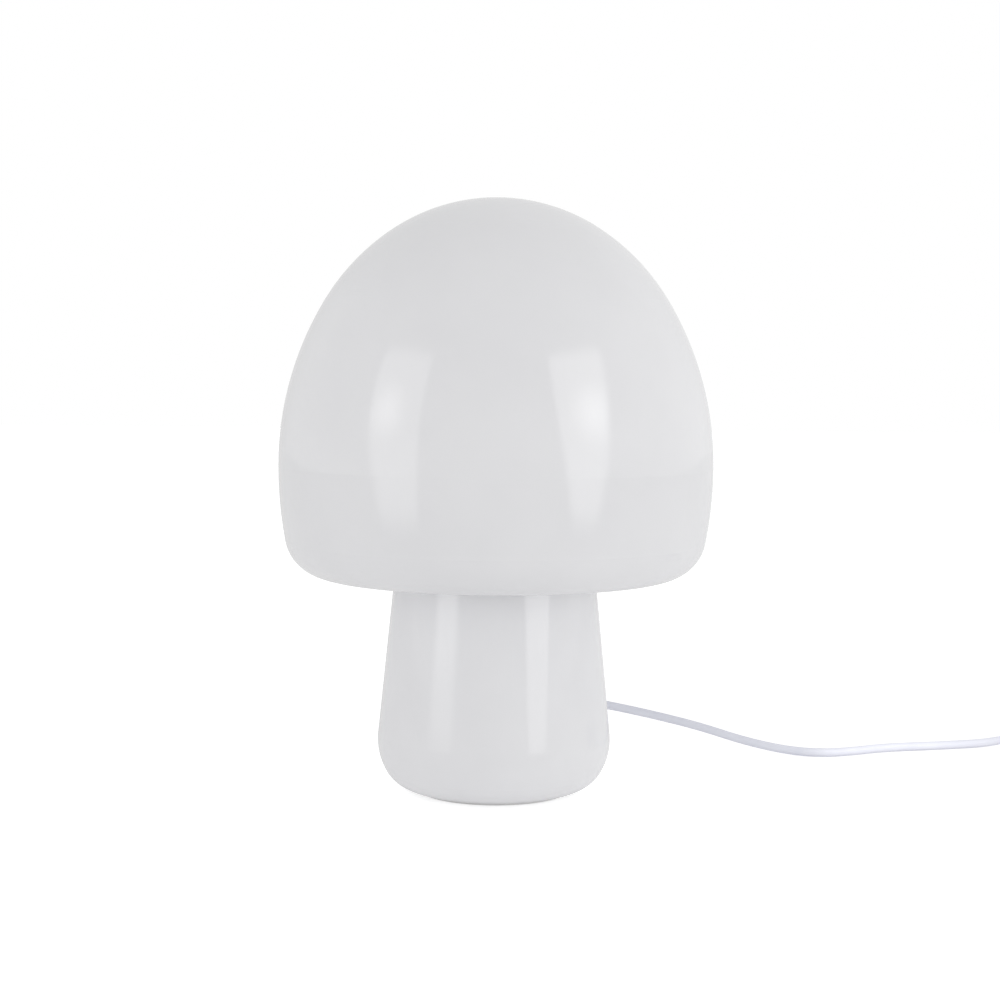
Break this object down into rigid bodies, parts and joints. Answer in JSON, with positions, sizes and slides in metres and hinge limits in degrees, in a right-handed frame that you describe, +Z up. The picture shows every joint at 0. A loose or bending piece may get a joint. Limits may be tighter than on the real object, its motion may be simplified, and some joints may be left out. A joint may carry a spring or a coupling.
{
  "type": "table lamp",
  "caption": "Mushroom table lamp: lift-off opal glass dome on a tapered opal glass stem, screw-base bulb inside, mains cord with inline rocker switch and plug.",
  "frame": {"origin": "middle of the lamp's foot, on the surface it stands on", "axes": "+Z up along the lamp's axis, -Y the front, +Y the side where the mains cord leaves the stem, +X the side the cord runs to"},
  "size_m": [0.6462, 0.282, 0.3424],
  "materials": {
    "opal_glass": "glossy opal white, fire-polished",
    "white_silicone": "matt translucent white",
    "black_rubber": "matt",
    "white_enamel": "satin white",
    "zinc_steel": "bright zinc",
    "white_nylon": "fine satin",
    "white_thermoset": "semi-gloss",
    "ceramic_insert": "matt",
    "brass": "bright",
    "nickel_cap": "satin",
    "nickel_pins": "satin nickel",
    "black_insulator": "glossy black",
    "frosted_diffuser": "frosted white",
    "white_board": "white solder mask",
    "led_phosphor": "yellow phosphor",
    "green_board": "solder mask",
    "cord_sheath": "satin white PVC",
    "brown_wire": "smooth PVC",
    "blue_wire": "smooth PVC"
  },
  "bodies": {
    "base": {"stem_glass": "opal_glass", "shade_cushion": "white_silicone", "rim_gasket": "white_silicone", "foot_pad": "white_silicone", "base_rubber_washer": "black_rubber", "gland_washer": "white_silicone", "carrier_plate": "white_enamel", "threaded_rod": "zinc_steel", "rod_nuts": "zinc_steel", "base_steel_washer": "zinc_steel", "lock_washer": "zinc_steel", "cord_gland": "white_nylon", "gland_nut": "white_nylon", "cord_in_base": "cord_sheath", "live_wire": "brown_wire", "neutral_wire": "blue_wire", "holder_cap": "white_thermoset", "holder_grub_screw": "zinc_steel", "holder_insert": "ceramic_insert", "holder_shell": "white_thermoset", "screw_shell": "brass", "centre_contact": "brass", "holder_terminals": "brass", "terminal_screws": "zinc_steel", "switch_lower_shell": "white_nylon", "switch_upper_shell": "white_nylon", "switch_live_terminals": "brass", "switch_neutral_terminal": "brass", "switch_live_wires": "brown_wire", "switch_neutral_wires": "blue_wire", "switch_cord_ends": "cord_sheath", "switch_cord_clamps": "white_nylon", "clamp_screws": "zinc_steel", "housing_screws": "zinc_steel", "cord_lamp_to_switch": "cord_sheath", "cord_switch_to_coil": "cord_sheath", "cord_coil": "cord_sheath", "cord_coil_to_plug": "cord_sheath", "plug_body": "cord_sheath", "plug_pins": "nickel_pins", "plug_pin_sleeves": "black_insulator"},
    "shade": {"shade_glass": "opal_glass"},
    "bulb": {"bulb_contact": "brass", "bulb_insulator": "black_insulator", "bulb_cap": "nickel_cap", "bulb_housing": "white_thermoset", "bulb_globe": "frosted_diffuser", "led_board": "white_board", "leds": "led_phosphor", "led_driver": "green_board"},
    "rocker": {"switch_rocker": "white_nylon", "switch_rocker_contact": "brass"}
  },
  "joints": [
    {"name": "shade_lift", "type": "slide", "parent": "base", "child": "shade", "axis": [0, 0, 1], "range_m": [0, 0.15]},
    {"name": "bulb_unscrew", "type": "slide", "parent": "base", "child": "bulb", "axis": [0, 0, 1], "range_m": [0, 0.03]},
    {"name": "rocker_tilt", "type": "hinge", "parent": "base", "child": "rocker", "pos_m": [0.397, 0.145, 0.014], "axis": [0, 1, 0], "range_deg": [0, 16]}
  ]
}
